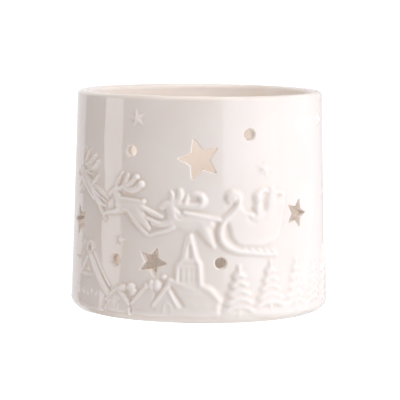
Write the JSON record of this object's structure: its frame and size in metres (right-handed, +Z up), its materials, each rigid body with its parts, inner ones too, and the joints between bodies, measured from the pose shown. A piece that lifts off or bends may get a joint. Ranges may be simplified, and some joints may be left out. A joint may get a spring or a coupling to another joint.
{
  "type": "tealight holder",
  "caption": "Pierced white porcelain drum with a winter village frieze in low relief, and a lift-out wax tealight in an aluminium cup.",
  "frame": {"origin": "centre of the foot, on the surface that the holder stands on", "axes": "+Z up along the drum's axis; the front of the frieze, with the sleigh and the church, faces -Y; +X is to the viewer's right"},
  "size_m": [0.0861, 0.0867, 0.073],
  "materials": {
    "porcelain": "gloss",
    "cup_aluminium": "satin",
    "wax": "satin",
    "tin": "satin",
    "cotton": "matte"
  },
  "bodies": {
    "holder": {"holder_body": "porcelain"},
    "cup": {"tealight_cup": "cup_aluminium"},
    "candle": {"wax": "wax", "wick_sustainer": "tin", "wick": "cotton"}
  },
  "joints": [
    {"name": "tealight_lift", "type": "slide", "parent": "holder", "child": "cup", "axis": [0, 0, 1], "range_m": [0, 0.085]},
    {"name": "candle_lift", "type": "slide", "parent": "cup", "child": "candle", "axis": [0, 0, 1], "range_m": [0, 0.025]}
  ]
}
